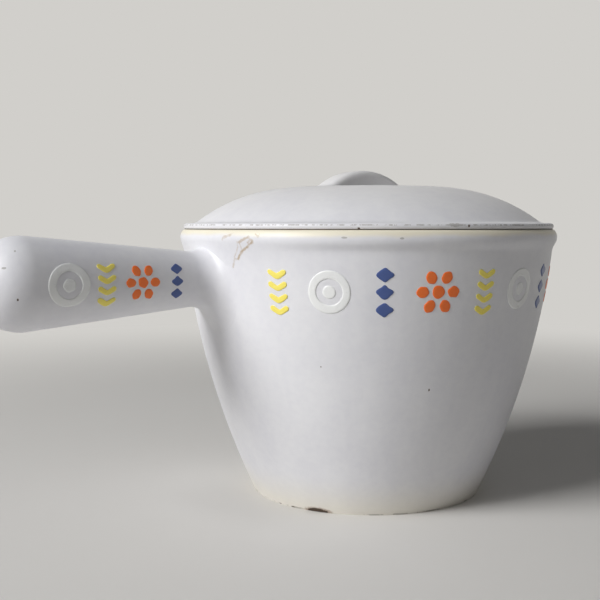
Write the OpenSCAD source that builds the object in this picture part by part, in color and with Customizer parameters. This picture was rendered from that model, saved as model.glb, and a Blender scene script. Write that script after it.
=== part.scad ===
// Fondue pot with lid, enamelled cast iron. Millimetres, +Z up.
// The origin is the centre of the foot on the table, and the handle points along -X.
// Each casting carries a fused coat of white enamel, with a frieze of fired colours over it.

// Piece to draw, or all of them

/* [Pot] */
// Diameter over the lip
rim_d = 180; // [150:1:220]
// Height from the table to the seat of the lid
pot_h = 125.7; // [100:0.1:160]
// Diameter of the foot
foot_d = 110; // [90:1:130]
// Radius of the long curve of the wall
wall_arc = 377; // [250:1:600]
// Thickness of the wall with its coats
wall_t = 4.4; // [3.5:0.1:6]
// Thickness of the floor with its coats
floor_t = 5; // [4:0.1:8]
// Radius of the corner between floor and wall, inside
floor_round = 13; // [6:1:20]
// Radius of the bulge of the lip
lip_r = 5.4; // [4:0.1:7]
// How far the lip stands out from the wall below it
lip_out = 2.1; // [1:0.1:4]
// How far the middle of the lip lies below the seat
lip_drop = 3.7; // [2.5:0.1:4.5]
// Width of the ground ring under the foot
foot_ring_w = 7; // [4:0.5:12]
// Depth of the hollow inside the ring
foot_hollow = 1.2; // [0.8:0.1:2.5]

/* [Handle] */
// How far the handle's axis lies below the seat
handle_drop = 21.7; // [18:0.1:40]
// Distance from the pot's axis to the end of the handle
handle_end = 188; // [165:1:230]
// Diameter at the wall, before the flare of the root
handle_root_d = 22.6; // [18:0.2:28]
// Largest diameter, near the end
handle_max_d = 38.8; // [30:0.2:46]
// Radius of the flare at the root
root_flare = 11; // [6:0.5:16]
// Iron around the hollow
handle_wall = 4.6; // [3.5:0.1:7]
// Diameter of the core hole in the end
core_hole_d = 14; // [8:0.5:18]

/* [Lid] */
// How far the flange stays inside the lip
flange_inset = 1.6; // [0.8:0.1:4]
// Thickness of the flange
flange_t = 2.8; // [2.5:0.1:5]
// Width of the flange outside the dome
flange_w = 5.6; // [3:0.1:9]
// Rounding of the upper edge of the flange
flange_round = 1.2; // [0.9:0.1:1.8]
// Height of the crest above the seat
crest_h = 19.8; // [14:0.1:30]
// Radius of the ring of the crest
crest_ring_r = 34; // [28:0.5:42]
// Depth of the finger dish below the crest
dish_depth = 13; // [9:0.5:15]
// Thickness of the lid with its coats
lid_t = 4.2; // [3.5:0.1:6]
// Play between locating ring and mouth
lid_play = 0.8; // [0.4:0.1:2]
// Height of the locating ring
ring_h = 5.5; // [3:0.1:9]
// Thickness of the locating ring
ring_t = 3.4; // [2.8:0.1:5]

/* [Grip] */
// Height of the top of the grip above the seat
grip_h = 27.9; // [24:0.1:40]
// Outer radius of the arch
grip_arch_r = 34; // [30:0.5:50]
// Height of the bar
grip_bar_h = 9; // [7.5:0.1:12]
// Width of the bar
grip_bar_w = 13; // [10:0.1:18]
// How far the arch sits off the lid's centre, toward the handle
grip_shift = 4; // [0:0.1:5]

/* [Enamel] */
// Thickness of the white coat
coat_t = 0.5; // [0.3:0.05:0.8]
// Relief of the fired colours
colour_t = 0.3; // [0.2:0.05:0.6]
// Hairline between two fired layers
bond = 0.01; // [0.005:0.005:0.02]

/* [Frieze] */
// How far the middle of the frieze lies below the seat
frieze_drop = 25.2; // [22:0.1:40]
// Height of a motif on the pot
motif_h = 21; // [14:0.5:24]
// Number of places round the pot, of which the ones at the handle stay empty
place_count = 24; // [16:4:28]
// Number of places on either side of the handle root that stay empty
skip_count = 1; // [1:1:2]
// Distance from the pot's axis to the first motif on the handle
handle_motif_first = 106; // [104:1:115]
// Distance between motifs on the handle
handle_motif_step = 16; // [12:0.5:18]
// Height of a motif on the handle, in radii of the handle there
handle_motif = 1.15; // [0.8:0.05:1.3]

/* [Hidden] */
$fn = 96;
// Steps of a drawn arc, of the flare, of the ball end and of a rounded edge
steps = 14;
flare_steps = 10;
ball_steps = 20;
edge_steps = 4;
// Overlap of a cut past a face
past = 1;
rim_r = rim_d / 2;
foot_r = foot_d / 2;
seat_z = pot_h;
handle_z = seat_z - handle_drop;
frieze_z = seat_z - frieze_drop;
// Wall curve: it starts at the foot's edge and runs up to the neck under the lip
neck = [rim_r - lip_out, pot_h - lip_drop - lip_r];
foot_edge = [foot_r, 0];
chord = neck - foot_edge;
half_chord = norm(chord) / 2;
wall_c = (neck + foot_edge) / 2 + sqrt(wall_arc ^ 2 - half_chord ^ 2) * [-chord[1], chord[0]] / norm(chord);
lip_c = [rim_r - lip_r, pot_h - lip_drop];
mouth_r = wall_r(seat_z, wall_t);
// Handle: a cone that ends in a ball
ball_r = handle_max_d / 2;
ball_s = handle_end - ball_r;
root_s = wall_r(handle_z, 0);
// How far the flare turns, in degrees, before it runs into the wall
flare_turn = 60;
flare_s = root_s - past + root_flare * sin(flare_turn);
cone_lean = asin((ball_r - handle_root_d / 2) / (ball_s - root_s));
hollow_s = root_s + root_flare + handle_wall;
core_hole_r = core_hole_d / 2;
// Lid
flange_r = rim_r - flange_inset;
dome_r = flange_r - flange_w;
ring_r = mouth_r - lid_play;
crest_z = seat_z + crest_h;
dome_drop = crest_h - flange_t;
dome_w = dome_r - crest_ring_r;
dome_arc = (dome_w ^ 2 + dome_drop ^ 2) / (2 * dome_drop);
dome_c = [crest_ring_r, crest_z - dome_arc];
grip_z = seat_z + grip_h;
// Radius that takes off the edges of the bar
bar_round = 0.44 * norm([grip_bar_w, grip_bar_h]);
// Sides of the small round motifs
motif_sides = 12;

// Points of an arc about c, from angle a to angle b
function arc(c, r, a, b, n = steps) = [for (i = [0:n]) c + r * [cos(a + (b - a) * i / n), sin(a + (b - a) * i / n)]];

// Radius of the pot's wall at height z, a depth in from its outer face
function wall_r(z, depth) = wall_c[0] + sqrt((wall_arc - depth) ^ 2 - (z - wall_c[1]) ^ 2);

// Angle on the wall's curve at height z
function wall_a(z, depth) = asin((z - wall_c[1]) / (wall_arc - depth));

// Radius of the handle's cone at distance s from the pot's axis
function cone_r(s) = ball_r / cos(cone_lean) - (ball_s - s) * tan(cone_lean);

// Height of the lid's top inside the crest ring
function dish_z(r) = crest_z - dish_depth * (1 + cos(180 * r / crest_ring_r)) / 2;

// Half section of the bowl's outside, set in by a depth, with its foot lowered by drop
module bowl_section(depth, drop) {
    polygon(concat([[0, -drop], [wall_r(0, depth), -drop]],
                   arc(wall_c, wall_arc - depth, wall_a(0, depth), wall_a(neck[1], depth)),
                   [[wall_r(seat_z - depth, depth), seat_z - depth], [0, seat_z - depth]]));
    intersection() {
        translate(lip_c) circle(r = lip_r - depth);
        translate([0, neck[1]]) square([rim_r, seat_z - depth - neck[1]]);
    }
}

// Half section of the space inside the bowl, widened by a depth
module cavity_section(depth) {
    inner = wall_t - depth;
    round_r = floor_round + depth;
    round_z = floor_t + floor_round;
    round_x = wall_c[0] + sqrt((wall_arc - inner - round_r) ^ 2 - (round_z - wall_c[1]) ^ 2);
    turn = atan2(round_z - wall_c[1], round_x - wall_c[0]);
    polygon(concat([[0, round_z - round_r]],
                   arc([round_x, round_z], round_r, -90, turn),
                   arc(wall_c, wall_arc - inner, turn, wall_a(seat_z + past, inner)),
                   [[0, seat_z + past]]));
}

// Half section of the handle, set in by a depth; x is the radius and y the distance from the pot's axis
module handle_section(depth) {
    flare_r = cone_r(flare_s) - depth;
    flare_c = [flare_r + root_flare + depth, flare_s];
    polygon(concat([[0, root_s - 3 * wall_t]],
                   [[flare_c[0] - (root_flare + depth) * cos(flare_turn), root_s - 3 * wall_t]],
                   arc(flare_c, root_flare + depth, 180 + flare_turn, 180, flare_steps),
                   arc([0, ball_s], ball_r - depth, -cone_lean, 90, ball_steps)));
}

// Turns a section about the handle's axis
module about_handle() {
    translate([0, 0, handle_z]) rotate([0, -90, 0]) rotate_extrude() children();
}

// Hollow of the handle with its core hole
module handle_hollow() {
    inner_r = ball_r - handle_wall;
    about_handle()
        polygon(concat([[0, hollow_s], [cone_r(hollow_s) - handle_wall, hollow_s]],
                       arc([0, ball_s], inner_r, -cone_lean, acos(core_hole_r / inner_r)),
                       [[core_hole_r, handle_end + past], [0, handle_end + past]]));
}

// Bowl and handle in one, set in by a depth, before the handle is hollowed
module pot_form(depth, drop) {
    difference() {
        union() {
            rotate_extrude() bowl_section(depth, drop);
            about_handle() handle_section(depth);
        }
        rotate_extrude() cavity_section(depth);
        translate([0, 0, -past - drop])
            cylinder(r = foot_r - foot_ring_w + depth, h = foot_hollow + depth + past + drop);
    }
}

// Iron of the pot, bare in the hollow of the handle and on the foot ring
module pot_casting() {
    color([0.16, 0.15, 0.15]) difference() {
        pot_form(coat_t, 0);
        handle_hollow();
    }
}

// White coat of the pot
module pot_enamel() {
    color([0.9, 0.9, 0.9]) difference() {
        pot_form(0, 0);
        pot_form(coat_t - bond, past);
        handle_hollow();
    }
}

// Half section of the lid, set in by a depth, with its seat lowered by drop
module lid_section(depth, drop) {
    under = lid_t - depth;
    top_edge = seat_z + flange_t - depth;
    dome_foot = asin((top_edge - dome_c[1]) / (dome_arc - depth));
    ring_in = ring_r - ring_t + depth;
    under_edge = acos((ring_in - dome_c[0]) / (dome_arc - under));
    polygon(concat([for (i = [0:steps]) [crest_ring_r * i / steps, dish_z(crest_ring_r * i / steps) - depth]],
                   arc(dome_c, dome_arc - depth, 90 - 90 / steps / 2, dome_foot),
                   arc([flange_r - flange_round, seat_z + flange_t - flange_round],
                       flange_round - depth, 90, 0, edge_steps),
                   [[flange_r - depth, seat_z - drop],
                    [ring_r - depth, seat_z - drop], [ring_r - depth, seat_z - ring_h + depth],
                    [ring_in, seat_z - ring_h + depth]],
                   arc(dome_c, dome_arc - under, under_edge, 90 - 90 / steps / 2),
                   [for (i = [steps:-1:0]) [crest_ring_r * i / steps, dish_z(crest_ring_r * i / steps) - under]]));
}

// Arched bar across the dish, set in by a depth
module grip_bar(depth) {
    mid_r = grip_arch_r - grip_bar_h / 2;
    translate([-grip_shift, 0, grip_z - grip_arch_r]) rotate([90, 0, 0]) rotate_extrude()
        translate([mid_r, 0]) intersection() {
            square([grip_bar_h - 2 * depth, grip_bar_w - 2 * depth], center = true);
            circle(r = bar_round - depth);
        }
}

// Space over the middle of the lid's thickness, where the feet of the grip end
module grip_room() {
    foot_in = crest_ring_r / 3;
    foot_out = crest_ring_r * 5 / 6;
    low = dish_z(foot_in) - lid_t / 2;
    rotate_extrude()
        polygon([[0, low], [foot_in, low], [foot_out, dish_z(foot_out) - lid_t / 2],
                 [foot_out, grip_z + past], [0, grip_z + past]]);
}

// Lid and grip in one, set in by a depth, with its seat lowered by drop
module lid_form(depth, drop) {
    rotate_extrude() lid_section(depth, drop);
    intersection() {
        grip_bar(depth);
        grip_room();
    }
}

// Iron of the lid with its grip, bare under the flange
module lid_casting() {
    color([0.16, 0.15, 0.15]) lid_form(coat_t, 0);
}

// White coat of the lid and its grip
module lid_enamel() {
    color([0.9, 0.9, 0.9]) difference() {
        lid_form(0, 0);
        lid_form(coat_t - bond, past);
    }
}

// Thin layer over the wall, as high as a motif
module wall_layer() {
    low = frieze_z - motif_h / 2 - past;
    high = frieze_z + motif_h / 2 + past;
    rotate_extrude()
        polygon(concat(arc(wall_c, wall_arc + bond, wall_a(low, -bond), wall_a(high, -bond)),
                       arc(wall_c, wall_arc + bond + colour_t,
                           wall_a(high, -bond - colour_t), wall_a(low, -bond - colour_t))));
}

// Thin layer over the handle's cone
module handle_layer() {
    about_handle()
        polygon([[cone_r(flare_s) + bond, flare_s], [cone_r(flare_s) + bond + colour_t, flare_s],
                 [cone_r(ball_s) + bond + colour_t, ball_s], [cone_r(ball_s) + bond, ball_s]]);
}

// Lays a motif of unit height on every fourth place of the frieze, and once on each side of the handle
module frieze(turn) {
    handle_place = place_count / 2;
    s = handle_motif_first + handle_motif_step * turn;
    intersection() {
        wall_layer();
        for (i = [turn:4:place_count - 1])
            if (abs(i - handle_place) > skip_count)
                rotate([0, 0, i * 360 / place_count]) translate([0, 0, frieze_z])
                    rotate([90, 0, 90]) linear_extrude(rim_d) scale(motif_h) children();
    }
    intersection() {
        handle_layer();
        for (side = [0, 1])
            mirror([0, side, 0]) translate([-s, 0, handle_z])
                rotate([90, 0, 0]) linear_extrude(handle_max_d) scale(handle_motif * cone_r(s)) children();
    }
}

// Column of three lozenges
module lozenges() {
    for (i = [-1:1])
        translate([0, i * 0.34]) polygon([[-0.2, 0], [0, -0.15], [0.2, 0], [0, 0.15]]);
}

// Rosette of six petals round a dot
module rosette() {
    circle(r = 0.13, $fn = motif_sides);
    for (i = [0:5])
        rotate(i * 60) polygon([[0.18, 0], [0.25, -0.1], [0.38, -0.11], [0.47, 0], [0.38, 0.11], [0.25, 0.1]]);
}

// Column of four chevrons
module chevrons() {
    for (i = [-1.5:1.5])
        translate([0, i * 0.24]) polygon([[-0.2, 0.1], [-0.2, -0.02], [0, -0.14],
                                          [0.2, -0.02], [0.2, 0.1], [0, -0.02]]);
}

// Ring round a dot
module ring_and_dot() {
    circle(r = 0.13, $fn = motif_sides);
    difference() {
        circle(r = 0.42, $fn = motif_sides);
        circle(r = 0.26, $fn = motif_sides);
    }
}

// Fired blue
module blue_motifs() {
    color([0.2, 0.28, 0.5]) frieze(0) lozenges();
}

// Fired orange
module orange_motifs() {
    color([0.95, 0.42, 0.14]) frieze(1) rosette();
}

// Fired yellow
module yellow_motifs() {
    color([0.95, 0.88, 0.38]) frieze(2) chevrons();
}

// Fired white, a little raised over the coat
module white_motifs() {
    color([0.95, 0.95, 0.93]) frieze(3) ring_and_dot();
}

pot_casting();
pot_enamel();
lid_casting();
lid_enamel();
blue_motifs();
orange_motifs();
yellow_motifs();
white_motifs();
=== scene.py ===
"""Fondue pot with lid: satin white enamel over cast iron, with a frieze of fired colours.

Every shape is worked out with numpy in millimetres, in the part's own frame, and goes into its
mesh in metres. Angles round the pot are counted from +X, and the handle points along -X.
"""
import math

import bpy
import numpy as np
from mathutils import Matrix, Vector


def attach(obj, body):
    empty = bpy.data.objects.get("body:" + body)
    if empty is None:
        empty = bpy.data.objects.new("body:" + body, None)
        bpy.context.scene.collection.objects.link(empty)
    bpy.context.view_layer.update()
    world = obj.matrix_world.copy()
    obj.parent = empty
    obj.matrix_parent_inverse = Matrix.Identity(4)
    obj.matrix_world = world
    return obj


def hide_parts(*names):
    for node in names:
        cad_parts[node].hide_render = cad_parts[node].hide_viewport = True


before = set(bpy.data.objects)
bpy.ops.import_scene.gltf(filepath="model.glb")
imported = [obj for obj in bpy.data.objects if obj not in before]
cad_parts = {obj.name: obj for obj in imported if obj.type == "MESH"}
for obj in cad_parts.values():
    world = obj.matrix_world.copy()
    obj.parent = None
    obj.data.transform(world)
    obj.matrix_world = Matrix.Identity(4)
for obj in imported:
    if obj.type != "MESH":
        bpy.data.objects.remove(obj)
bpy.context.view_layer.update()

MM = 0.001

# Measures are in millimetres and degrees: _R is a radius, _Z a height over the table, _H a height,
# _T a thickness, _W a width and _c a centre; s is a distance from the pot's axis along the handle

# Pot
RIM_R, SEAT_Z, FOOT_R = 90.0, 125.7, 55.0
WALL_ARC, WALL_T = 377.0, 4.4
FLOOR_T, FLOOR_ROUND = 5.0, 13.0
LIP_R, LIP_OUT, LIP_DROP, COVE_R = 5.4, 2.1, 3.7, 5.0
FOOT_RING_W, FOOT_HOLLOW = 7.0, 1.2
COAT_T = 0.5

# Handle
HANDLE_Z, HANDLE_END = 104.0, 188.0
ROOT_R, BALL_R = 11.3, 19.4
CORE_HOLE_R, HOLE_LIP = 7.0, 0.6

# Root of the handle: its flare, the oval where it lands on the pot, and the fuller cove beside it
ROOT_FLARE, FLARE_TURN, FLARE_SUNK = 11.0, 60.0, 1.0
LAND_ABOVE, LAND_BELOW, LAND_ASIDE = 18.0, 24.5, 22.5
BLUNT_ABOVE, BLUNT_BELOW = 2.6, 2.3
BEND_TURN, BEND_LESS_ABOVE, BEND_PULL = 42.0, 10.0, 0.36
LAND_PAST, LAND_SUNK = 0.6, 0.35
ROOT_COVE_R, ROOT_COVE_SPREAD = 60.0, (22.0, 48.0)

# Lid, whose flange turns in below its edge through points given by inset and height over the seat
FLANGE_R, FLANGE_T, FLANGE_W, FLANGE_ROUND = 88.4, 2.8, 5.6, 1.2
FLANGE_TURNED_IN = ((0.0, 0.75), (0.4, 0.35))
CREST_H, CREST_RING_R, DISH_DEPTH, DOME_COVE_R = 19.8, 34.0, 13.0, 5.0
LID_T, LID_PLAY = 4.2, 0.8
RING_H, RING_T = 5.5, 3.4

# Grip: its arch, its bar, and its coved feet, which are larger on the outer side
GRIP_Z, GRIP_ARCH_R, GRIP_SWEEP, GRIP_SHIFT = SEAT_Z + 27.75, 34.0, 58.0, 4.0
GRIP_BAR_H, GRIP_BAR_W, GRIP_CORNER = 9.0, 13.0, 0.44
GRIP_FOOT_H, GRIP_FOOT_H_MORE = 3.2, 1.8
GRIP_FOOT_OUT, GRIP_FOOT_OUT_MORE = 3.0, 4.5
GRIP_SLIP, GRIP_SLIP_SUNK = 0.25, 0.2

# Reach of the rounding along the edges
POT_EDGE, FOOT_EDGE, HOLE_EDGE, LID_EDGE, RING_EDGE = 0.75, 0.3, 0.35, 0.6, 0.5

# Frieze: its places round the pot, those left free each side of the handle, and its kinds of motif
FRIEZE_Z, MOTIF_H, FRIEZE_SEED = 100.5, 21.0, 20
PLACE_COUNT, SKIP_COUNT, KINDS = 24, 1, 4
HANDLE_MOTIF_FIRST, HANDLE_MOTIF_STEP, HANDLE_MOTIF = 106.0, 16.0, 1.15

# Relief of a fired colour: how high it stands, and the share of that by which it reaches under;
# the rings of a pad from its middle to its edge, and the section across a stroke
RELIEF, UNDER = 0.26, -0.4
PAD_REACH = np.array([0.3, 0.55, 0.75, 0.88, 0.96, 1.0, 1.0])
PAD_HEIGHT = np.array([1.0, 1.0, 0.97, 0.85, 0.6, 0.3, UNDER]) * RELIEF
STROKE_ACROSS = np.array([-1, -0.97, -0.85, -0.55, 0, 0.55, 0.85, 0.97, 1, 0.5, -0.5])
STROKE_HEIGHT = np.array([0.2, 0.55, 0.9, 1, 1, 1, 0.9, 0.55, 0.2, UNDER, UNDER]) * RELIEF
STROKE_SOFT, STROKE_PER_TURN, STROKE_END = 0.035, 0.05, 0.96
PAD_WAVER, STROKE_WAVER, NEARLY_A_TURN = 0.02, 0.05, 6.28

# Points round the pot and round the handle, and the angle from which an edge stays sharp
ROUND, HANDLE_ROUND = 256, 112
SHARP_ANGLE = math.radians(50)

# ------------------------------------------------------------------ derived measures
neck = np.array([RIM_R - LIP_OUT, SEAT_Z - LIP_DROP - LIP_R])
foot_edge = np.array([FOOT_R, 0.0])
chord = neck - foot_edge
half_chord = np.linalg.norm(chord) / 2
wall_c = (neck + foot_edge) / 2 + math.sqrt(WALL_ARC**2 - half_chord**2) * np.array(
    [-chord[1], chord[0]]) / np.linalg.norm(chord)
lip_c = np.array([RIM_R - LIP_R, SEAT_Z - LIP_DROP])
crest_z = SEAT_Z + CREST_H
dome_drop = CREST_H - FLANGE_T
dome_r = FLANGE_R - FLANGE_W
dome_w = dome_r - CREST_RING_R
dome_arc = (dome_w**2 + dome_drop**2) / (2 * dome_drop)
dome_c = np.array([CREST_RING_R, crest_z - dome_arc])


def wall_r(z, depth=0.0):
    """Radius of the pot's wall at height z, a depth in from its face: one long arc of a circle."""
    return wall_c[0] + np.sqrt((WALL_ARC - depth) ** 2 - (z - wall_c[1]) ** 2)


def dish_z(r):
    """Height of the lid's top inside the crest ring: half a cosine wave from dish to crest."""
    return crest_z - DISH_DEPTH * (1 + np.cos(np.pi * np.minimum(r / CREST_RING_R, 1))) / 2


root_s = float(wall_r(HANDLE_Z))
ball_s = HANDLE_END - BALL_R
cone_lean = math.asin((BALL_R - ROOT_R) / (ball_s - root_s))
flare_s = root_s - FLARE_SUNK + ROOT_FLARE * math.sin(math.radians(FLARE_TURN))
ring_r = float(wall_r(SEAT_Z, WALL_T)) - LID_PLAY


def cone_r(s):
    """Radius of the handle at distance s from the pot's axis: a cone that touches the ball end."""
    return BALL_R / math.cos(cone_lean) - (ball_s - s) * math.tan(cone_lean)


# ------------------------------------------------------------------ curves
def arc(centre, radius, start, end, count=60):
    """Part of a circle: centre plus radius times cosine and sine of even steps in degrees."""
    a = np.radians(np.linspace(start, end, count))
    return np.column_stack([centre[0] + radius * np.cos(a), centre[1] + radius * np.sin(a)])


def along(path):
    """Length walked from the start of a path to each of its points."""
    return np.r_[0.0, np.cumsum(np.linalg.norm(np.diff(path, axis=0), axis=1))]


def looked_up(path, measure, at):
    """Points of a path where its running measure has the given values."""
    return np.column_stack([np.interp(at, measure, column) for column in path.T])


def soften(path, reach):
    """Running mean under a bell curve of that reach: corners turn round, the ends stay."""
    per_reach = 4
    wide = 4 * per_reach
    walked = along(path)
    count = int(walked[-1] / (reach / per_reach)) + 2
    fine = looked_up(path, walked, np.linspace(0, walked[-1], count))
    bell = np.exp(-0.5 * (np.arange(-wide, wide + 1) / per_reach) ** 2)
    padded = np.pad(fine, ((wide, wide), (0, 0)), mode="reflect", reflect_type="odd")
    return np.column_stack([np.convolve(c, bell / bell.sum(), "valid") for c in padded.T])


def spaced(path, count, per_turn=9.0):
    """The path in so many points, closer in its bends: even steps of length plus turning."""
    step = np.diff(path, axis=0)
    heading = np.unwrap(np.arctan2(step[:, 1], step[:, 0]))
    effort = np.linalg.norm(step, axis=1) + per_turn * np.abs(np.gradient(heading))
    effort = np.r_[0.0, np.cumsum(effort)]
    return looked_up(path, effort, np.linspace(0, effort[-1], count))


def left_of(path):
    """Unit vectors to the left of a path at its points: its direction, turned by a right angle."""
    way = np.gradient(path, axis=0)
    return np.column_stack([-way[:, 1], way[:, 0]]) / np.linalg.norm(way, axis=1)[:, None]


def coat(path, depth):
    """Closed section of a coat: along its face, then back a depth to the right of the way out.

    The way back has only every fourth point."""
    every = 4
    keep = np.unique(np.r_[0:len(path):every, len(path) - 1])
    return np.concatenate([path, (path - depth * left_of(path))[keep][::-1]])


# ------------------------------------------------------------------ surfaces
def carried_round(path, count):
    """Rings of a path carried once round the Z axis: radius times cosine and sine of the angle."""
    a = np.linspace(0, 2 * np.pi, count, endpoint=False)
    r, z = path.T
    return np.stack([r[:, None] * np.cos(a), r[:, None] * np.sin(a),
                     np.repeat(z[:, None], count, 1)], axis=2)


def turned(section):
    """A section carried round the Z axis, whose first and last points lie on that axis.

    Each of these two becomes one point with a fan round it."""
    rings = carried_round(section[1:-1], ROUND)
    return fanned(rings, [0, 0, section[0, 1]], [0, 0, section[-1, 1]])


def fanned(rings, start, end):
    """Rings of points joined by four-sided faces, with a fan from each end ring to one point."""
    rows, count = rings.shape[:2]
    points = np.concatenate([[start], rings.reshape(-1, 3), [end]])
    i = 1 + np.arange(rows * count).reshape(rows, count)
    j = np.roll(i, -1, axis=1)
    quads = np.stack([i[:-1], j[:-1], j[1:], i[1:]], axis=-1).reshape(-1, 4)
    first = np.stack([np.zeros(count, int), j[0], i[0]], axis=-1)
    last = np.stack([np.full(count, len(points) - 1), i[-1], j[-1]], axis=-1)
    return points, [quads, first, last]


def capped(rings):
    """Rings of points joined by four-sided faces, with a fan to the middle of each end ring."""
    return fanned(rings, rings[0].mean(axis=0), rings[-1].mean(axis=0))


def looped(rings):
    """Rings of points joined to each other, the last to the first again."""
    rows, count = rings.shape[:2]
    i = np.arange(rows * count).reshape(rows, count)
    j = np.roll(i, -1, axis=1)
    quads = np.stack([i, j, np.roll(j, -1, axis=0), np.roll(i, -1, axis=0)], axis=-1)
    return rings.reshape(-1, 3), [quads.reshape(-1, 4)]


def facing_out(points, faces):
    """The faces of a closed surface in the order that gives it a positive volume."""
    volume = sum(
        np.einsum("ij,ij->", points[f[:, 0]], np.cross(points[f[:, k]], points[f[:, k + 1]]))
        for f in faces for k in range(1, f.shape[1] - 1))
    return faces if volume > 0 else [f[:, ::-1] for f in faces]


def smooth_mesh(name, points, faces):
    """A smooth-shaded mesh in metres, of points in millimetres."""
    mesh = bpy.data.meshes.new(name)
    mesh.from_pydata((points * MM).tolist(), [], faces)
    mesh.polygons.foreach_set("use_smooth", np.ones(len(mesh.polygons), bool))
    return mesh


def placed(name, data):
    """A new object in the scene, at the origin."""
    made = bpy.data.objects.new(name, data)
    bpy.context.scene.collection.objects.link(made)
    return made


def piece(name, surfaces, finish, body, slot, *nodes):
    """One mesh of several closed surfaces, riding on a body in place of the named nodes."""
    all_points, all_faces, count = [], [], 0
    for points, faces in surfaces:
        all_faces += [(f + count).tolist() for f in facing_out(points, faces)]
        all_points.append(points)
        count += len(points)
    mesh = smooth_mesh(name, np.concatenate(all_points), sum(all_faces, []))
    mesh.set_sharp_from_angle(angle=SHARP_ANGLE)
    mesh.materials.append(finish)
    made = placed(name, mesh)
    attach(made, body)
    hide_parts(*nodes)


# ------------------------------------------------------------------ pot
def pot_face(cove_r=COVE_R):
    """Face of the pot from the middle of the floor, up inside, over the lip and down to the foot.

    Floor, corner arc, inner wall, flat seat, round lip, the cove under it, an arc that touches
    both the lip and the wall, and the long arc of the outer wall, with all edges softened."""
    corner_z = FLOOR_T + FLOOR_ROUND
    reach = WALL_ARC - WALL_T - FLOOR_ROUND
    corner_x = wall_c[0] + math.sqrt(reach**2 - (corner_z - wall_c[1]) ** 2)
    turn = math.degrees(math.atan2(corner_z - wall_c[1], corner_x - wall_c[0]))
    corner = arc((corner_x, corner_z), FLOOR_ROUND, -90, turn)
    inner_z = np.linspace(corner[-1, 1], SEAT_Z, num=120)[1:]
    apart = wall_c - lip_c
    far = np.linalg.norm(apart)
    ahead = (far**2 + (LIP_R + cove_r) ** 2 - (WALL_ARC + cove_r) ** 2) / (2 * far)
    aside = math.sqrt((LIP_R + cove_r) ** 2 - ahead**2)
    square_off = np.array([apart[1], -apart[0]]) * np.sign(apart[0])
    cove_c = lip_c + (ahead * apart + aside * square_off) / far
    lip_end = math.degrees(math.atan2(*(cove_c - lip_c)[::-1]))
    cove_end = math.degrees(math.atan2(*(wall_c - cove_c)[::-1])) % 360
    lip_start = math.degrees(math.asin(LIP_DROP / LIP_R))
    lip = arc(lip_c, LIP_R, lip_start, lip_end, count=90)
    cove = arc(cove_c, cove_r, 180 + lip_end, cove_end, count=40)
    outer_z = np.linspace(cove[-1, 1], 0, num=160)[1:]
    face = np.concatenate([
        [[0.0, FLOOR_T]], corner,
        np.column_stack([wall_r(inner_z, WALL_T), inner_z]),
        lip, cove,
        np.column_stack([wall_r(outer_z), outer_z])])
    return soften(face, POT_EDGE)


def outside_r(face, z):
    """Radius of a pot face's outer side at height z."""
    outer = face[np.argmax(face[:, 0]):][::-1]
    return np.interp(z, outer[:, 1], outer[:, 0])


def filled_cove(points):
    """Points of the pot, pushed out under the lip where the handle's root runs up into it.

    The push is the difference between the faces with a wide and a narrow cove at that height,
    times a smooth step of the angle away from the handle."""
    x, y, z = points.T
    r = np.hypot(x, y)
    narrow, wide = outside_r(pot_face(), z), outside_r(pot_face(ROOT_COVE_R), z)
    low, high = ROOT_COVE_SPREAD
    share = np.clip((high - np.degrees(np.abs(np.arctan2(y, -x)))) / (high - low), 0, 1)
    skin = 0.2
    on_face = (r > narrow - skin) & (z < lip_c[1])
    push = on_face * share**2 * (3 - 2 * share) * np.maximum(wide - narrow, 0)
    scale = 1 + push / np.maximum(r, 1)
    return np.column_stack([x * scale, y * scale, z])


def root_rings(face, count=30):
    """Flare of the handle's root: at each angle round the handle an arc that turns away from the
    cone, then a cubic curve that leaves this arc along its end and arrives along the pot's face.

    The line where it arrives is a blunt oval, lower at the top, where it runs along the lip."""
    a = np.linspace(0, 2 * np.pi, HANDLE_ROUND, endpoint=False)
    up, aside = np.cos(a), np.sin(a)

    def on_pot(reach):
        """Points of the pot's face at a reach from the handle's axis."""
        y, z = reach * aside, HANDLE_Z + reach * up
        r = outside_r(face, z)
        return np.stack([-np.sqrt(r**2 - y**2), y, z], axis=1)

    def about(s, r):
        """Rings about the handle's axis, of radius r at distance s from the pot's axis."""
        return np.stack([-s + 0 * a, r * aside, HANDLE_Z + r * up], axis=-1)

    high = np.where(up > 0, LAND_ABOVE, LAND_BELOW)
    blunt = np.where(up > 0, BLUNT_ABOVE, BLUNT_BELOW)
    land = ((np.abs(aside) / LAND_ASIDE) ** blunt + (np.abs(up) / high) ** blunt) ** (-1 / blunt)
    turn_end = np.radians(BEND_TURN - BEND_LESS_ABOVE * up)
    turn = np.linspace(0, 1, count // 2)[:, None] * turn_end
    bend = about(flare_s - ROOT_FLARE * np.sin(turn),
                 cone_r(flare_s) + ROOT_FLARE * (1 - np.cos(turn)))
    start, end = bend[-1], on_pot(land)
    leave = np.stack([np.cos(turn_end), np.sin(turn_end) * aside, np.sin(turn_end) * up], axis=1)
    beside = 0.5
    arrive = on_pot(land + beside) - on_pot(land - beside)
    arrive /= np.linalg.norm(arrive, axis=1)[:, None]
    span = np.linalg.norm(end - start, axis=1)[:, None]
    b, c = start + BEND_PULL * span * leave, end - BEND_PULL * span * arrive
    t = np.linspace(0, 1, count - count // 2 + 1)[1:, None, None]
    flare = (1 - t) ** 3 * start + 3 * (1 - t) ** 2 * t * b + 3 * (1 - t) * t**2 * c + t**3 * end
    sunk = on_pot(land + LAND_PAST) + [[LAND_SUNK, 0, 0]]
    return np.concatenate([bend, flare, sunk[None]])


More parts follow.
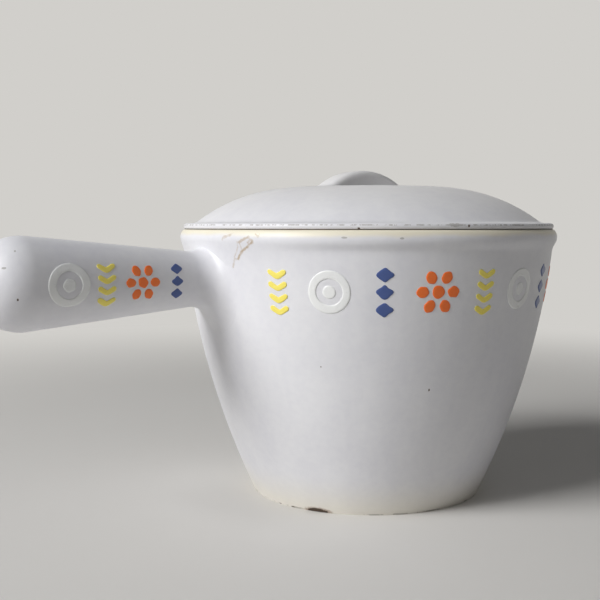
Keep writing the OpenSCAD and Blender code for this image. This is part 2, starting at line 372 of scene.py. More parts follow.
def handle_rings(face):
    """Skin of the handle: core-hole edge, ball end, cone and flared root, then back inside."""
    a = np.linspace(0, 2 * np.pi, HANDLE_ROUND, endpoint=False)

    def rings_of(path):
        """A section of distance and radius, carried round the handle's axis."""
        s, r = path.T[:, :, None]
        return np.stack([-s + 0 * a, r * np.sin(a), HANDLE_Z + r * np.cos(a)], axis=2)

    lean = math.degrees(cone_lean)
    hole = math.degrees(math.asin(CORE_HOLE_R / BALL_R))
    ball = arc((ball_s, 0), BALL_R, hole, 90 + lean, count=90)
    cone_s = np.linspace(ball[-1, 0], flare_s, num=90)[1:]
    outer = np.concatenate([[[ball[0, 0] - HOLE_LIP, CORE_HOLE_R]], ball,
                            np.column_stack([cone_s, cone_r(cone_s)])])
    outer = spaced(soften(outer, HOLE_EDGE), count=84)
    back_s = np.linspace(root_s - FLARE_SUNK, ball_s, num=24)
    back_r = BALL_R - COAT_T
    back_hole = math.degrees(math.asin(CORE_HOLE_R / back_r))
    back = np.concatenate([np.column_stack([back_s, cone_r(back_s) - COAT_T]),
                           arc((ball_s, 0), back_r, 90, back_hole, count=16)])
    return np.concatenate([rings_of(outer)[:-1], root_rings(face), rings_of(back)])


def foot_hollow_face():
    """Underside of the floor inside the foot ring: flat, then down the ring's inner side."""
    r = FOOT_R - FOOT_RING_W
    return soften(np.array([[0.0, FOOT_HOLLOW], [r, FOOT_HOLLOW], [r, 0.0]]), FOOT_EDGE)


# ------------------------------------------------------------------ lid
def lid_top_face():
    """Top of the lid: cosine dish, crest, dome arc, cove, and a flange whose round edge turns in.

    The cove is an arc that touches the dome and the flange's flat top."""
    r = np.linspace(0, CREST_RING_R, num=90)
    flat_z = SEAT_Z + FLANGE_T
    reach = dome_arc + DOME_COVE_R
    foot = math.degrees(math.asin((flat_z + DOME_COVE_R - dome_c[1]) / reach))
    lean = math.radians(foot)
    cove_c = dome_c + reach * np.array([math.cos(lean), math.sin(lean)])
    dome = arc(dome_c, dome_arc, 90, foot, count=90)[1:]
    cove = arc(cove_c, DOME_COVE_R, 180 + foot, 270, count=16)
    edge_c = (FLANGE_R - FLANGE_ROUND, flat_z - FLANGE_ROUND)
    edge = arc(edge_c, FLANGE_ROUND, 90, 0, count=12)
    turned_in = np.array([[FLANGE_R - inset, SEAT_Z + rise] for inset, rise in FLANGE_TURNED_IN])
    face = np.concatenate([np.column_stack([r, dish_z(r)]), dome, cove, edge, turned_in])
    return soften(face, LID_EDGE)


def lid_under_face():
    """Underside of the lid: dish and dome a lid's thickness lower, then round the locating ring."""
    r = np.linspace(0, CREST_RING_R, num=60)
    under = dome_arc - LID_T
    edge = math.degrees(math.acos((ring_r - RING_T - dome_c[0]) / under))
    low = SEAT_Z - RING_H
    ring = np.array([[ring_r - RING_T, low], [ring_r, low], [ring_r, SEAT_Z]])
    face = np.concatenate([np.column_stack([r, dish_z(r) - LID_T]),
                           arc(dome_c, under, 90, edge)[1:], ring])
    return soften(face, RING_EDGE)


def grip_rings(rows=160, count=72):
    """Skin of the grip: a rounded bar section carried along an arch over the dish, on coved feet.

    The section is a rectangle with its edges taken off by a circle and its reach averaged under a
    bell curve. Over the last few millimetres above the dish every point moves out along the
    section's normal by the square of what is left to go, and its height over the dish shrinks with
    the square of itself, so each foot lands along the dish and slips under it."""
    fine, half, spread = 2880, 180, 55.0
    a = np.linspace(0, 2 * np.pi, fine, endpoint=False)
    reach = np.minimum(GRIP_CORNER * math.hypot(GRIP_BAR_W, GRIP_BAR_H),
                       np.minimum(GRIP_BAR_W / 2 / np.maximum(np.abs(np.cos(a)), 1e-9),
                                  GRIP_BAR_H / 2 / np.maximum(np.abs(np.sin(a)), 1e-9)))
    bell = np.exp(-0.5 * (np.arange(-half, half + 1) / spread) ** 2)
    reach = np.convolve(np.r_[reach[-half:], reach, reach[:half]], bell / bell.sum(), "valid")
    w, h = (reach * np.cos(a))[::fine // count], (reach * np.sin(a))[::fine // count]
    turn = np.radians(np.linspace(-GRIP_SWEEP, GRIP_SWEEP, rows))[:, None]
    middle = GRIP_ARCH_R - GRIP_BAR_H / 2
    centre_z = GRIP_Z - GRIP_ARCH_R
    line = np.stack([-GRIP_SHIFT + middle * np.sin(turn) + 0 * w, 0 * turn + 0 * w,
                     centre_z + middle * np.cos(turn) + 0 * w], axis=2)
    off = np.stack([h * np.sin(turn), w + 0 * turn, h * np.cos(turn)], axis=2)
    rings = line + off
    over = rings[:, :, 2] - dish_z(np.hypot(rings[:, :, 0], rings[:, :, 1]))
    normal = np.array([np.roll(h, -1) - np.roll(h, 1), np.roll(w, 1) - np.roll(w, -1)])
    normal /= np.linalg.norm(normal, axis=0)
    outer = np.clip(normal[1], 0, 1) ** 2
    foot_h = GRIP_FOOT_H + GRIP_FOOT_H_MORE * outer
    foot_out = GRIP_FOOT_OUT + GRIP_FOOT_OUT_MORE * outer
    left = np.clip(over / foot_h, 0, 1)
    past = np.clip(-over / foot_h, 0, GRIP_SLIP)
    push = ((1 - left) ** 2 + 2 * past) * foot_out
    rings += np.stack([push * normal[1] * np.sin(turn), push * normal[0], 0 * push], axis=2)
    sunk = GRIP_SLIP_SUNK * past + np.clip(-over - GRIP_SLIP * foot_h, 0, 1)
    height = np.where(over > foot_h, over, foot_h * left**2 * (2 - left) - sunk)
    rings[:, :, 2] = dish_z(np.hypot(rings[:, :, 0], rings[:, :, 1])) + height
    return rings


# ------------------------------------------------------------------ frieze
def on_wall(place):
    """Lays a flat shape on the pot: across is measured square to the place's middle, up is height.

    The angle round the pot is the arc sine of across over the wall's radius there."""
    middle = 2 * np.pi * place / PLACE_COUNT

    def lay(across, up, out):
        """Points of the wall, raised by out; across and up are shares of a motif's height."""
        z = FRIEZE_Z + up * MOTIF_H
        r = wall_r(z)
        a = middle + np.arcsin(across * MOTIF_H / r)
        return np.stack([(r + out) * np.cos(a), (r + out) * np.sin(a), z], axis=-1)
    return lay


def on_handle(turn, side):
    """Lays a flat shape on one side of the handle: across runs along the handle, up is height.

    The angle round the handle is the arc sine of up over the cone's radius there."""
    s = HANDLE_MOTIF_FIRST + HANDLE_MOTIF_STEP * turn
    size = HANDLE_MOTIF * cone_r(s)

    def lay(across, up, out):
        """Points of the handle, raised by out; across and up are shares of a motif's height."""
        x = -s + across * size
        r = cone_r(-x)
        a = np.arcsin(up * size / r)
        y, z = side * (r + out) * np.cos(a), HANDLE_Z + (r + out) * np.sin(a)
        return np.stack([x, y, z], axis=-1)
    return lay


def pad(lay, middle, corners, rng, count=48):
    """Raised pad of colour inside a many-sided outline: rings from the middle out to the edge.

    The edge's distance is that of the outline, averaged over neighbouring directions so that the
    corners turn round, with a slow waver of a few hundredths. The top is a flat dome."""
    tiny, slack = 1e-9, 1e-6
    a = np.linspace(0, 2 * np.pi, count, endpoint=False)
    way = np.column_stack([np.cos(a), np.sin(a)])
    p = corners - middle
    edge = np.roll(p, -1, axis=0) - p
    cross = way[:, None, 0] * edge[:, 1] - way[:, None, 1] * edge[:, 0]
    cross = np.where(np.abs(cross) < tiny, tiny, cross)
    far = (p[:, 0] * edge[:, 1] - p[:, 1] * edge[:, 0]) / cross
    share = (p[:, 0] * way[:, None, 1] - p[:, 1] * way[:, None, 0]) / cross
    met = (far > 0) & (share > -slack) & (share < 1 + slack)
    far = np.where(met, far, np.inf).min(axis=1)
    far = (2 * far + np.roll(far, 1) + np.roll(far, -1) + np.roll(far, 2) + np.roll(far, -2)) / 6
    for k in (2, 3, 5):
        far = far * (1 + PAD_WAVER * rng.normal() * np.cos(k * a + rng.uniform(0, 2 * np.pi)))
    reach = PAD_REACH[:, None] * far
    rings = lay(middle[0] + reach * np.cos(a), middle[1] + reach * np.sin(a),
                PAD_HEIGHT[:, None] + 0 * a)
    top = lay(np.array(middle[0]), np.array(middle[1]), np.array(RELIEF))
    low = lay(np.array(middle[0]), np.array(middle[1]), np.array(UNDER * RELIEF))
    return fanned(rings, top, low)


def stroke(lay, line, half_width, rng, count=30):
    """Brush stroke of colour: a low arched section carried along a soft line, with round ends."""
    line = spaced(soften(np.asarray(line, float), STROKE_SOFT), count, STROKE_PER_TURN)
    walked = along(line)
    end = np.minimum(walked, walked[-1] - walked) / half_width
    wide = half_width * np.sqrt(1 - np.clip(1 - end, 0, STROKE_END) ** 2)
    wide *= 1 + STROKE_WAVER * rng.normal() * np.cos(
        2 * np.pi * walked / walked[-1] + rng.uniform(0, NEARLY_A_TURN))
    across = (wide[:, None] * STROKE_ACROSS)[:, :, None]
    flat = line[:, None, :] + across * left_of(line)[:, None, :]
    rings = lay(flat[:, :, 0], flat[:, :, 1], STROKE_HEIGHT + 0 * flat[:, :, 0])
    return capped(rings)


def ring_pad(lay, inner, outer, rng, count=64):
    """Raised ring of colour: a low arched section carried round a circle, its width wavering."""
    a = np.linspace(0, 2 * np.pi, count, endpoint=False)[:, None]
    waver = 1 + STROKE_WAVER * rng.normal() * np.cos(2 * a + rng.uniform(0, NEARLY_A_TURN))
    wide = (outer - inner) / 2 * waver
    r = (outer + inner) / 2 + wide * STROKE_ACROSS
    return looped(lay(r * np.cos(a), r * np.sin(a), STROKE_HEIGHT + 0 * a))


def polygon(sides, radius):
    """Corners of a regular outline round the origin."""
    a = 2 * np.pi * np.arange(sides) / sides
    return radius * np.column_stack([np.cos(a), np.sin(a)])


def lozenges(lay, rng):
    """Column of three lozenges: four corners each, in shares of the motif's height."""
    shape = np.array([[-0.2, 0], [0, -0.15], [0.2, 0], [0, 0.15]])
    return [pad(lay, np.array([0, y]), shape + [0, y], rng) for y in (-0.34, 0, 0.34)]


def rosette(lay, rng):
    """Six petals round a dot: one petal's outline, turned by sixths."""
    petal = np.array([[0.18, 0], [0.25, -0.1], [0.38, -0.11],
                      [0.47, 0], [0.38, 0.11], [0.25, 0.1]])
    made = [pad(lay, np.zeros(2), polygon(24, 0.13), rng, 36)]
    for turn in np.radians(np.arange(6) * 60):
        spin = np.array([[math.cos(turn), math.sin(turn)], [-math.sin(turn), math.cos(turn)]])
        made.append(pad(lay, np.array([0.32, 0]) @ spin, petal @ spin, rng, 36))
    return made


def chevrons(lay, rng):
    """Column of four chevrons: one bent stroke, moved up by steps."""
    vee = np.array([[-0.2, 0.04], [0, -0.08], [0.2, 0.04]])
    return [stroke(lay, vee + [0, y], 0.056, rng) for y in (-0.36, -0.12, 0.12, 0.36)]


def ring_and_dot(lay, rng):
    """Ring round a dot, on one middle."""
    return [pad(lay, np.zeros(2), polygon(24, 0.13), rng, 36), ring_pad(lay, 0.26, 0.42, rng)]


def frieze(turn, motif):
    """A motif on every fourth place round the pot, clear of the handle, and on both its sides."""
    rng = np.random.default_rng(FRIEZE_SEED + turn)
    places = [i for i in range(turn, PLACE_COUNT, KINDS)
              if abs(i - PLACE_COUNT // 2) > SKIP_COUNT]
    lays = [on_wall(i) for i in places] + [on_handle(turn, side) for side in (-1, 1)]
    return [surface for lay in lays for surface in motif(lay, rng)]


# ------------------------------------------------------------------ material building blocks
def give(tree, node, inputs):
    """Sets a node's inputs, by name or number: a socket is linked, a value is written."""
    for key, value in inputs.items():
        if isinstance(value, bpy.types.NodeSocket):
            tree.links.new(value, node.inputs[key])
        else:
            node.inputs[key].default_value = value


def put(tree, kind, inputs=None, **settings):
    """Adds a node with its settings and inputs."""
    made = tree.nodes.new(kind)
    for key, value in settings.items():
        setattr(made, key, value)
    give(tree, made, inputs or {})
    return made


def calc(tree, operation, *values, clamp=False):
    """Result of one Math node."""
    return put(tree, "ShaderNodeMath", dict(enumerate(values)),
               operation=operation, use_clamp=clamp).outputs[0]


def vcalc(tree, operation, *values):
    """Result of one Vector Math node, its number where it gives one."""
    made = put(tree, "ShaderNodeVectorMath", dict(enumerate(values)), operation=operation)
    return made.outputs["Value" if operation in ("LENGTH", "DISTANCE", "DOT_PRODUCT") else "Vector"]


def ramp(tree, value, low, high, to_low=0.0, to_high=1.0):
    """Smooth step of a value from low to high."""
    return put(tree, "ShaderNodeMapRange", {"Value": value, "From Min": low, "From Max": high,
                                            "To Min": to_low, "To Max": to_high},
               interpolation_type="SMOOTHSTEP").outputs["Result"]


def noise(tree, vector, scale, detail=3.0, rough=0.55):
    """Value of a Noise texture."""
    return put(tree, "ShaderNodeTexNoise", {"Vector": vector, "Scale": scale, "Detail": detail,
                                            "Roughness": rough}).outputs["Fac"]


def blend(tree, share, a, b):
    """Colour a, turning to colour b by a share."""
    return put(tree, "ShaderNodeMix", {0: share, 6: a, 7: b}, data_type="RGBA").outputs[2]


def any_of(tree, masks):
    """Largest of several masks."""
    total = masks[0]
    for mask in masks[1:]:
        total = calc(tree, "MAXIMUM", total, mask)
    return total


def group(name, inputs, outputs):
    """A node group with named sockets: returns it, its inputs by name and its output node."""
    tree = bpy.data.node_groups.new(name, "ShaderNodeTree")
    kinds = {3: "NodeSocketVector", 4: "NodeSocketColor"}
    for label, value in inputs.items():
        kind = kinds[len(value)] if isinstance(value, tuple) else "NodeSocketFloat"
        tree.interface.new_socket(label, in_out="INPUT", socket_type=kind).default_value = value
    for label, kind in outputs.items():
        tree.interface.new_socket(label, in_out="OUTPUT", socket_type="NodeSocket" + kind)
    taken = tree.nodes.new("NodeGroupInput")
    return tree, {s.name: s for s in taken.outputs if s.name}, tree.nodes.new("NodeGroupOutput")


def use(tree, made, inputs):
    """Places a group in a material with its own values."""
    return put(tree, "ShaderNodeGroup", inputs, node_tree=made).outputs


def material(name):
    """A new material with its node tree, Principled BSDF and Object coordinates."""
    made = bpy.data.materials.new(name)
    made.use_nodes = True
    tree = made.node_tree
    where = tree.nodes.new("ShaderNodeTexCoord").outputs["Object"]
    return made, tree, tree.nodes["Principled BSDF"], where


def lift(tree, shader, height, strength, distance):
    """Bump of a height on a shader."""
    bump = put(tree, "ShaderNodeBump",
               {"Height": height, "Strength": strength, "Distance": distance})
    give(tree, shader, {"Normal": bump.outputs["Normal"]})


def srgb(r, g, b):
    """Linear colour of display values from 0 to 255."""
    v = np.array([r, g, b]) / 255
    v = np.where(v <= 0.04045, v / 12.92, ((v + 0.055) / 1.055) ** 2.4)
    return (*map(float, v), 1.0)


# ------------------------------------------------------------------ shared effects
ORIGIN = (0.0, 0.0, 0.0)


def make_glaze():
    """Fired glaze: broad and fine mottling, faint upright runs, uneven gloss and a sprayed ripple.

    The share of the thin colour is a weighted sum of three noises, and the runs are a noise drawn
    out upwards."""
    t, i, out = group("fired_glaze",
                      {"Vector": ORIGIN, "Colour": (0.8, 0.8, 0.8, 1.0),
                       "Thin Colour": (0.7, 0.7, 0.7, 1.0), "Mottle": 0.4, "Gloss": 0.35},
                      {"Colour": "Color", "Roughness": "Float", "Height": "Float"})
    where = i["Vector"]
    drawn_out = vcalc(t, "MULTIPLY", where, (1.0, 1.0, 0.08))
    broad = ramp(t, noise(t, where, scale=22.0, detail=4.0), low=0.35, high=0.7)
    fine = ramp(t, noise(t, where, scale=340.0, detail=2.0), low=0.3, high=0.75)
    runs = ramp(t, noise(t, drawn_out, scale=75.0, detail=2.0), low=0.35, high=0.7)
    share = calc(t, "MULTIPLY", broad, 0.45)
    share = calc(t, "MULTIPLY_ADD", runs, 0.3, share)
    share = calc(t, "MULTIPLY_ADD", fine, 0.25, share)
    share = calc(t, "MULTIPLY", share, i["Mottle"])
    uneven = calc(t, "MULTIPLY_ADD", noise(t, where, scale=60.0, detail=5.0), 0.16, -0.08)
    ripple = noise(t, where, scale=95.0, detail=2.0)
    peel = calc(t, "MULTIPLY_ADD", noise(t, where, scale=420.0, detail=1.0), 0.35, ripple)
    give(t, out, {"Colour": blend(t, share, i["Colour"], i["Thin Colour"]),
                  "Roughness": calc(t, "ADD", i["Gloss"], uneven, clamp=True),
                  "Height": peel})
    return t


def make_chip():
    """Chip or speck: one within a wavering distance of the centre, with a wider rim round it."""
    t, i, out = group("chip",
                      {"Vector": ORIGIN, "Centre": ORIGIN, "Stretch": (1.0, 1.0, 1.0),
                       "Size": 0.001, "Ragged": 0.5},
                      {"Mask": "Float", "Rim": "Float"})
    off = vcalc(t, "SUBTRACT", i["Vector"], i["Centre"])
    off = vcalc(t, "LENGTH", vcalc(t, "MULTIPLY", off, i["Stretch"]))
    waver = calc(t, "SUBTRACT", noise(t, i["Vector"], scale=700.0), 0.5)
    waver = calc(t, "MULTIPLY", waver, i["Ragged"])
    share = calc(t, "ADD", calc(t, "DIVIDE", off, i["Size"]), calc(t, "MULTIPLY", waver, 2.0))
    give(t, out, {"Mask": ramp(t, share, low=0.85, high=1.1, to_low=1.0, to_high=0.0),
                  "Rim": ramp(t, share, low=0.9, high=1.6, to_low=1.0, to_high=0.0)})
    return t


def make_ring_wear():
    """Wear along a round edge: near that ring, in dashes where a noise along it is high."""
    t, i, out = group("ring_wear",
                      {"Vector": ORIGIN, "Radius": 0.09, "Level": 0.12, "Width": 0.0008,
                       "Amount": 0.5, "Dash": 90.0},
                      {"Mask": "Float"})
    x, y, z = put(t, "ShaderNodeSeparateXYZ", {0: i["Vector"]}).outputs
    flat = put(t, "ShaderNodeCombineXYZ", {0: x, 1: y}).outputs[0]
    off_r = calc(t, "SUBTRACT", vcalc(t, "LENGTH", flat), i["Radius"])
    off_z = calc(t, "SUBTRACT", z, i["Level"])
    off = calc(t, "SQRT", calc(t, "ADD", calc(t, "MULTIPLY", off_r, off_r),
                               calc(t, "MULTIPLY", off_z, off_z)))
    dash = noise(t, flat, scale=i["Dash"], detail=4.0, rough=0.65)
    there = ramp(t, dash, low=calc(t, "SUBTRACT", 0.75, i["Amount"]),
                 high=calc(t, "SUBTRACT", 0.85, i["Amount"]))
    grain = calc(t, "MULTIPLY_ADD", noise(t, i["Vector"], scale=900.0, detail=2.0), 1.2, 0.3)
    width = calc(t, "MULTIPLY", i["Width"], grain)
    near = ramp(t, calc(t, "DIVIDE", off, width), low=0.7, high=1.15, to_low=1.0, to_high=0.0)
    give(t, out, {"Mask": calc(t, "MULTIPLY", near, there)})
    return t


def make_stain_line():
    """Stained hair crack: one within a wavering distance of a line from start to end, in breaks."""
    t, i, out = group("stain_line",
                      {"Vector": ORIGIN, "Start": ORIGIN, "End": (0.0, 0.0, 0.01),
                       "Width": 0.0004},
                      {"Mask": "Float"})
    rel = vcalc(t, "SUBTRACT", i["Vector"], i["Start"])
    way = vcalc(t, "SUBTRACT", i["End"], i["Start"])
    share = calc(t, "DIVIDE", vcalc(t, "DOT_PRODUCT", rel, way),
                 vcalc(t, "DOT_PRODUCT", way, way), clamp=True)
    foot = put(t, "ShaderNodeVectorMath", {0: way, "Scale": share},
               operation="SCALE").outputs["Vector"]
    waver = calc(t, "MULTIPLY_ADD", noise(t, i["Vector"], scale=650.0), 0.0014, -0.0007)
    off = calc(t, "ADD", vcalc(t, "DISTANCE", rel, foot), waver)
    near = ramp(t, calc(t, "DIVIDE", off, i["Width"]), low=0.3, high=1.5, to_low=1.0, to_high=0.0)
    breaks = ramp(t, noise(t, i["Vector"], scale=520.0), low=0.3, high=0.6, to_low=0.35)
    give(t, out, {"Mask": calc(t, "MULTIPLY", near, breaks)})
    return t


glaze, chip, ring_wear, stain_line = make_glaze(), make_chip(), make_ring_wear(), make_stain_line()

# ------------------------------------------------------------------ finishes
WHITE, WHITE_THIN = srgb(231, 231, 234), srgb(219, 219, 225)
CREAM, STAIN, RUBBED = srgb(233, 224, 196), srgb(172, 144, 104), srgb(146, 141, 134)
CHIP_DARK, CHIP_BROWN, CHIP_RIM = srgb(52, 46, 41), srgb(92, 74, 58), srgb(126, 88, 56)
SAND_DARK, SAND_PALE, RUST = srgb(44, 42, 42), srgb(78, 73, 70), srgb(92, 58, 38)
PAPER, PAPER_PALE, PAPER_FAR = srgb(214, 212, 208), srgb(218, 216, 213), srgb(130, 129, 127)
BACKDROP = srgb(209, 207, 203)

# Radius over which the round body of the pot gives way to the handle, in metres
BODY_END = (0.091, 0.097)


def white_enamel(name, creams, wear, rubs, chips, cracks=()):
    """Satin white enamel: creamier over stated heights of the round body, with worn edges, rubs,
    chips and stained hair cracks.

    A cream is the height where it starts, the height where it is full, and its share there. A
    crack is a share of stain, a width and the points of a broken line."""
    made, t, shader, where = material(name)
    face = use(t, glaze, {"Vector": where, "Colour": WHITE, "Thin Colour": WHITE_THIN,
                          "Mottle": 1.0, "Gloss": 0.42})
    height = put(t, "ShaderNodeSeparateXYZ", {0: where}).outputs[2]
    waver = calc(t, "MULTIPLY_ADD", noise(t, where, scale=45.0, detail=4.0), 0.003, -0.0015)
    height = calc(t, "ADD", height, waver)
    radius = vcalc(t, "LENGTH", vcalc(t, "MULTIPLY", where, (1.0, 1.0, 0.0)))
    on_body = ramp(t, radius, *BODY_END, to_low=1.0, to_high=0.0)
    colour = face["Colour"]
    # A cream is a real tint on the pot, at the lip's top and at the foot; on the lid it is painted
    # warm light that grows over its upward top.
    for start, full, share in creams:
        cream_tint_and_warm_light = calc(t, "MULTIPLY", ramp(t, height, start, full, to_high=share), on_body)
        colour = blend(t, cream_tint_and_warm_light, colour, CREAM)
    stains = []
    for share, width, points in cracks:
        for a, b in zip(points, points[1:]):
            line = use(t, stain_line, {"Vector": where, "Start": a, "End": b, "Width": width})
            stains.append(calc(t, "MULTIPLY", line["Mask"], share))
    if stains:
        colour = blend(t, any_of(t, stains), colour, STAIN)
    worn = any_of(t, [use(t, ring_wear, {"Vector": where, **w})["Mask"] for w in wear]
                  + [use(t, chip, {"Vector": where, **r})["Mask"] for r in rubs])
    colour = blend(t, calc(t, "MULTIPLY", worn, 0.6), colour, RUBBED)
    gone = [use(t, chip, {"Vector": where, **c}) for c in chips]
    bare, rim = any_of(t, [g["Mask"] for g in gone]), any_of(t, [g["Rim"] for g in gone])
    colour = blend(t, calc(t, "MULTIPLY", rim, 0.7), colour, CHIP_RIM)
    iron_seen = blend(t, noise(t, where, scale=800.0), CHIP_DARK, CHIP_BROWN)
    dull = calc(t, "MAXIMUM", worn, rim)
    give(t, shader, {
        "Base Color": blend(t, bare, colour, iron_seen),
        "Roughness": calc(t, "MULTIPLY_ADD", dull, 0.3, face["Roughness"], clamp=True)})
    sunk = calc(t, "MULTIPLY_ADD", bare, -2.0, calc(t, "MULTIPLY", face["Height"], 0.8))
    lift(t, shader, sunk, strength=0.35, distance=0.0003)
    return made


def fired_colour(name, colour, thin, gloss=0.3):
    """Glossy fired colour, thinner and paler in places."""
    made, t, shader, where = material(name)
    face = use(t, glaze, {"Vector": where, "Colour": colour, "Thin Colour": thin,
                          "Mottle": 0.5, "Gloss": gloss})
    give(t, shader, {"Base Color": face["Colour"], "Roughness": face["Roughness"]})
    lift(t, shader, face["Height"], strength=0.12, distance=0.0002)
    return made


def bare_iron():
    """Bare cast iron: a fine sandy grain, grey to brown where it has begun to rust."""
    made, t, shader, where = material("bare_iron")
    sand = noise(t, where, scale=1100.0, detail=4.0)
    rust = ramp(t, noise(t, where, scale=70.0, detail=5.0), low=0.45, high=0.7)
    grey = blend(t, sand, SAND_DARK, SAND_PALE)
    give(t, shader, {"Base Color": blend(t, calc(t, "MULTIPLY", rust, 0.7), grey, RUST),
                     "Roughness": calc(t, "MULTIPLY_ADD", rust, 0.25, 0.55),
                     "Metallic": 0.35})
    lift(t, shader, sand, strength=0.4, distance=0.0003)
    return made


def floor_paper():
    """Pale paper that takes light and shadow near the pot and is seen at one even tone far off."""
    made, t, shader, where = material("floor_paper")
    away = vcalc(t, "LENGTH", where)
    paper = blend(t, noise(t, where, scale=6.0), PAPER, PAPER_PALE)
    far = ramp(t, away, low=0.7, high=1.2)
    give(t, shader, {"Base Color": blend(t, far, paper, PAPER_FAR), "Roughness": 0.7})
    glow = put(t, "ShaderNodeEmission", {"Color": BACKDROP}).outputs[0]
    ray = put(t, "ShaderNodeLightPath").outputs
    seen = any_of(t, [ray["Is Camera Ray"], ray["Is Glossy Ray"], ray["Is Transmission Ray"]])
    seen = calc(t, "MULTIPLY", ramp(t, away, low=0.28, high=0.8), seen)
    mixed = put(t, "ShaderNodeMixShader", {0: seen, 1: shader.outputs[0], 2: glow}).outputs[0]
    give(t, t.nodes["Material Output"], {"Surface": mixed})
    return made


# Marks, placed in metres: rubs on the lip and the ball end, chips at the foot, specks on the wall
# and the handle, and hair cracks by the root of the handle
pot_white = white_enamel(
    "pot_white_enamel",
    creams=[(0.1222, 0.1246, 0.75), (0.02, -0.002, 0.45)],
    wear=[{"Radius": 0.055, "Level": 0.0004, "Width": 0.0005, "Amount": 0.26, "Dash": 120.0}],
    rubs=[{"Centre": (-0.0586, -0.0683, 0.1226), "Stretch": (1.0, 1.0, 3.0), "Size": 0.0012},
          {"Centre": (-0.0394, -0.0809, 0.1223), "Stretch": (1.0, 1.0, 2.0), "Size": 0.0008},
          {"Centre": (-0.1737, -0.0129, 0.1176), "Stretch": (1.0, 1.0, 0.7), "Size": 0.0004},
          {"Centre": (-0.1786, -0.015, 0.1112), "Stretch": (1.0, 1.0, 2.0), "Size": 0.0009}],
    chips=[{"Centre": (-0.0463, -0.0297, 0.0), "Stretch": (1.0, 1.0, 3.0), "Size": 0.0052,
            "Ragged": 0.35},
           {"Centre": (-0.0522, -0.0178, 0.0), "Stretch": (1.0, 1.0, 2.0), "Size": 0.0009},
           {"Centre": (-0.0541, -0.0099, 0.0), "Stretch": (1.0, 1.0, 2.0), "Size": 0.0007},
           {"Centre": (-0.0197, -0.0742, 0.059), "Stretch": (1.0, 1.0, 0.6), "Size": 0.0003},
           {"Centre": (-0.0594, -0.0526, 0.069), "Size": 0.00022},
           {"Centre": (-0.1743, -0.0179, 0.0991), "Stretch": (1.0, 1.0, 0.7), "Size": 0.00032}],
    cracks=[(0.6, 0.0006, [(-0.0849, -0.029, 0.1204), (-0.0843, -0.0314, 0.1217),
                           (-0.0833, -0.0339, 0.1227), (-0.0824, -0.0358, 0.1209)]),
            (0.75, 0.0006, [(-0.0824, -0.0357, 0.1206), (-0.083, -0.0325, 0.1186),
                            (-0.0835, -0.0298, 0.1171), (-0.0838, -0.0273, 0.1151),
                            (-0.0838, -0.026, 0.1134)]),
            (0.5, 0.0005, [(-0.0829, -0.0349, 0.1217), (-0.0832, -0.0334, 0.1203)]),
            (0.4, 0.0004, [(-0.0849, -0.0289, 0.1202), (-0.084, -0.0293, 0.1179)]),
            (0.35, 0.0004, [(-0.0853, -0.028, 0.1206), (-0.0848, -0.0274, 0.1185),
                            (-0.0847, -0.0262, 0.1168), (-0.0846, -0.0241, 0.1142)]),
            (0.4, 0.0005, [(-0.0838, -0.026, 0.1134), (-0.0844, -0.0239, 0.1133),
                           (-0.0843, -0.0232, 0.1121), (-0.0843, -0.0221, 0.1099)]),
            (0.45, 0.0006, [(-0.0879, -0.0191, 0.1215), (-0.0877, -0.0198, 0.1226),
                            (-0.0873, -0.0218, 0.1229), (-0.0864, -0.025, 0.1239)]),
            (0.5, 0.0005, [(-0.0818, -0.0373, 0.1238), (-0.0813, -0.0385, 0.1229)]),
            (0.5, 0.0004, [(-0.0811, -0.039, 0.1242), (-0.08, -0.0412, 0.1246)])])
lid_white = white_enamel(
    "lid_white_enamel",
    # The lid's cream, fuller higher up, is painted warm light on its upward top, not a stain in the
    # enamel.
    creams=[(0.124, 0.15, 0.12)],
    wear=[{"Radius": 0.0883, "Level": 0.1277, "Width": 0.0004, "Amount": 0.29, "Dash": 420.0}],
    rubs=[{"Centre": (-0.0173, -0.0867, 0.1276), "Stretch": (1.0, 1.0, 5.0), "Size": 0.0034,
           "Ragged": 0.9}],
    chips=[{"Centre": (-0.0531, -0.0707, 0.1261), "Size": 0.0005},
           {"Centre": (-0.0108, -0.0878, 0.1272), "Size": 0.00045}])
blue = fired_colour("fired_blue", srgb(62, 82, 140), thin=srgb(84, 106, 162))
orange = fired_colour("fired_orange", srgb(246, 112, 38), thin=srgb(250, 140, 62))
yellow = fired_colour("fired_yellow", srgb(247, 229, 98), thin=srgb(250, 238, 140))
raised_white = fired_colour("fired_white", srgb(240, 241, 240), thin=srgb(228, 230, 232),
                            gloss=0.26)
iron = bare_iron()

# ------------------------------------------------------------------ pieces
pot_section = pot_face()
pot_points, pot_faces = turned(coat(spaced(pot_section, count=190), COAT_T))
foot_hollow = turned(coat(spaced(foot_hollow_face(), count=24), -COAT_T))
handle = looped(handle_rings(pot_section))
piece("pot_enamel_coat", [(filled_cove(pot_points), pot_faces), foot_hollow, handle],
      pot_white, "pot", "white_enamel", "pot_enamel")
lid_top = turned(coat(spaced(lid_top_face(), count=150), COAT_T))
lid_under = turned(coat(spaced(lid_under_face(), count=90), -COAT_T))
piece("lid_enamel_coat", [lid_top, lid_under, capped(grip_rings())],
      lid_white, "lid", "white_enamel", "lid_enamel")
for turn, (name, motif, finish, slot, node) in enumerate([
        ("blue_lozenges", lozenges, blue, "blue_enamel", "blue_motifs"),
        ("orange_rosettes", rosette, orange, "orange_enamel", "orange_motifs"),
        ("yellow_chevrons", chevrons, yellow, "yellow_enamel", "yellow_motifs"),
        ("raised_white_rings", ring_and_dot, raised_white, "raised_white_enamel", "white_motifs")]):
    piece(name, frieze(turn, motif), finish, "pot", slot, node)
for name in ("pot_casting", "lid_casting"):
    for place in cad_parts[name].material_slots:
        place.material = iron

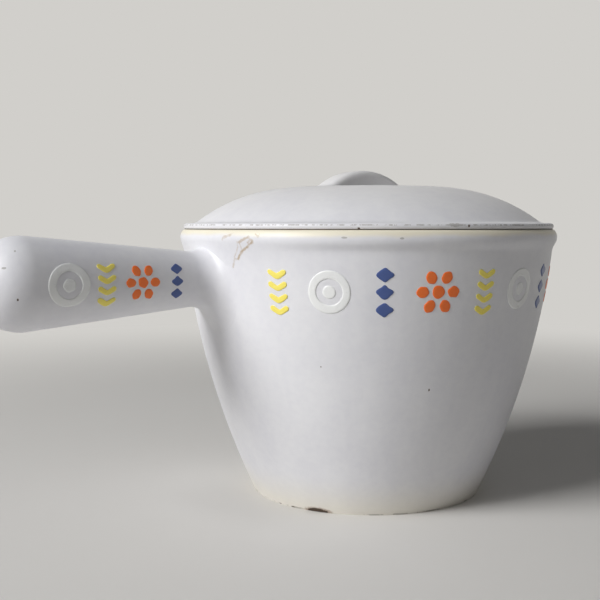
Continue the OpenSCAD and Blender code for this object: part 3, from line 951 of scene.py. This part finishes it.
# ------------------------------------------------------------------ stage, light and camera
FLOOR_NEAR, FLOOR_FLAT, SWEEP_R, BACKDROP_TOP, SWEEP_ROUND = 400.0, 2400.0, 900.0, 2800.0, 96
AIR_COLOUR, AIR_STRENGTH = (0.95, 0.97, 1.0, 1.0), 0.11
SENSOR_WIDTH, LENS, CLIP_START = 36.0, 58.56, 0.01
CAMERA_PLACE = Vector((-0.27405, -0.39139, 0.12723))
CAMERA_AHEAD = Vector((0.51536, 0.85363, -0.07568))
VIEW_TURN = math.radians(35)
POT_MIDDLE = Vector((0, 0, 0.08))

up = Vector((0, 0, 1))
to_camera = Vector((-math.sin(VIEW_TURN), -math.cos(VIEW_TURN), 0))
to_left = Vector((-math.cos(VIEW_TURN), math.sin(VIEW_TURN), 0))


def studio_sweep():
    """Floor that turns up into a wall all round: a disc, a quarter arc and an upright, about Z."""
    path = np.concatenate([[[FLOOR_NEAR, 0.0], [FLOOR_FLAT, 0.0]],
                           arc((FLOOR_FLAT, SWEEP_R), SWEEP_R, -90, 0, count=24)[1:],
                           [[FLOOR_FLAT + SWEEP_R, BACKDROP_TOP]]])
    rings = carried_round(path, SWEEP_ROUND)
    points = np.concatenate([[[0, 0, 0]], rings.reshape(-1, 3)])
    i = 1 + np.arange(rings.shape[0] * SWEEP_ROUND).reshape(-1, SWEEP_ROUND)
    j = np.roll(i, -1, axis=1)
    faces = np.stack([i[:-1], j[:-1], j[1:], i[1:]], axis=-1).reshape(-1, 4)[:, ::-1].tolist()
    faces += np.stack([np.zeros(SWEEP_ROUND, int), i[0], j[0]], axis=-1).tolist()
    mesh = smooth_mesh("studio_floor", points, faces)
    mesh.materials.append(floor_paper())
    floor = placed("studio_floor", mesh)


def soft_lamp(name, left, front, high, size, power):
    """Square area lamp that faces the middle of the pot, placed as the camera sees the pot."""
    data = bpy.data.lights.new(name, "AREA")
    data.size, data.energy = size, power
    lamp = placed(name, data)
    lamp.location = left * to_left + front * to_camera + high * up
    lamp.rotation_mode = "QUATERNION"
    lamp.rotation_quaternion = (POT_MIDDLE - lamp.location).to_track_quat("-Z", "Y")
    lamp.visible_camera = False


studio_sweep()
soft_lamp("window_lamp", left=1.88, front=1.32, high=1.52, size=1.3, power=78.0)
soft_lamp("fill_lamp", left=-1.1, front=0.5, high=0.9, size=0.9, power=0.4)

scene = bpy.context.scene
scene.view_settings.view_transform = "Standard"
scene.world = bpy.data.worlds.new("studio_air")
scene.world.use_nodes = True
air = scene.world.node_tree
give(air, air.nodes["Background"], {"Color": AIR_COLOUR, "Strength": AIR_STRENGTH})

camera_data = bpy.data.cameras.new("photo_camera")
camera_data.sensor_width, camera_data.lens, camera_data.clip_start = SENSOR_WIDTH, LENS, CLIP_START
scene.camera = placed("photo_camera", camera_data)
ahead = CAMERA_AHEAD.normalized()
right = ahead.cross(up).normalized()
scene.camera.matrix_world = Matrix((
    *zip(right, right.cross(ahead), -ahead, CAMERA_PLACE), (0, 0, 0, 1)))
